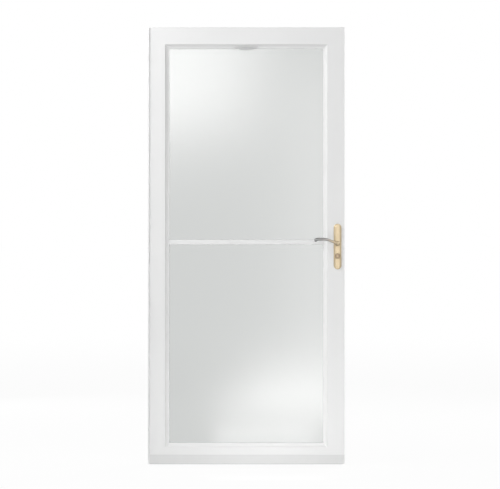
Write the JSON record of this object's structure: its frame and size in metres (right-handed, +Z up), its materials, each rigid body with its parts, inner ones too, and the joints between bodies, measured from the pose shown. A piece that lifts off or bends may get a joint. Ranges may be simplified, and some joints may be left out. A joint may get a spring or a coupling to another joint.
{
  "type": "storm door",
  "caption": "White aluminium storm door: coved frame, upper glass sash behind a lower glass, brass lever lock, continuous hinge and screw-on mounting rails.",
  "frame": {"origin": "on the hinge rail's flat screw face (x = 0), half way across the rail (y = 0), at the sill (z = 0)", "axes": "+X from the hinge edge to the latch edge, -Y outdoors (the side the picture shows), +Z up"},
  "size_m": [0.914, 0.148, 2.032],
  "materials": {
    "white_aluminium": "satin white powder coat on aluminium",
    "glass": "clear tempered sheet",
    "gasket": "grey vinyl",
    "seal_rubber": "soft bulb seal and sweep",
    "brass": "satin brass",
    "lever_brass": "aged brass",
    "steel": "plated",
    "pull_plastic": "grey moulded",
    "latch_plastic": "white moulded"
  },
  "bodies": {
    "mounting_frame": {"hinge_rail": "white_aluminium", "latch_rail": "white_aluminium", "head_rail": "white_aluminium", "strike_plate": "steel", "hinge_fixed_leaf": "white_aluminium", "hinge_pin": "steel", "hinge_weatherstrip": "seal_rubber", "latch_weatherstrip": "seal_rubber", "head_weatherstrip": "seal_rubber"},
    "door_leaf": {"hinge_moving_leaf": "white_aluminium", "hinge_stile": "white_aluminium", "latch_stile": "white_aluminium", "top_rail": "white_aluminium", "bottom_rail": "white_aluminium", "sash_left_stile": "white_aluminium", "sash_right_stile": "white_aluminium", "sash_top_rail": "white_aluminium", "sash_bottom_rail": "white_aluminium", "lower_glass_edge_trim": "white_aluminium", "bottom_expander": "white_aluminium", "upper_glass": "glass", "lower_glass": "glass", "upper_glass_gasket": "gasket", "lower_glass_gasket": "gasket", "door_sweep": "seal_rubber", "meeting_rail_seal": "seal_rubber", "outside_escutcheon": "brass", "inside_escutcheon": "brass", "key_cylinder": "brass", "thumb_turn": "brass", "latch_bolt": "steel", "lock_faceplate": "steel", "top_pull": "pull_plastic", "left_sash_latch": "latch_plastic", "right_sash_latch": "latch_plastic"},
    "lever_handle": {"outside_lever": "lever_brass", "inside_lever": "lever_brass", "lever_spindle": "steel"}
  },
  "joints": [
    {"name": "door_swing", "type": "hinge", "parent": "mounting_frame", "child": "door_leaf", "pos_m": [0.0052, -0.029, 1.016], "axis": [0, 0, -1], "range_deg": [0, 90]},
    {"name": "lever_turn", "type": "hinge", "parent": "door_leaf", "child": "lever_handle", "pos_m": [0.8817, -0.009, 1.026], "axis": [0, -1, 0], "range_deg": [0, 40], "stiffness_Nm_per_rad": 1.5, "springref_deg": -25.78}
  ]
}
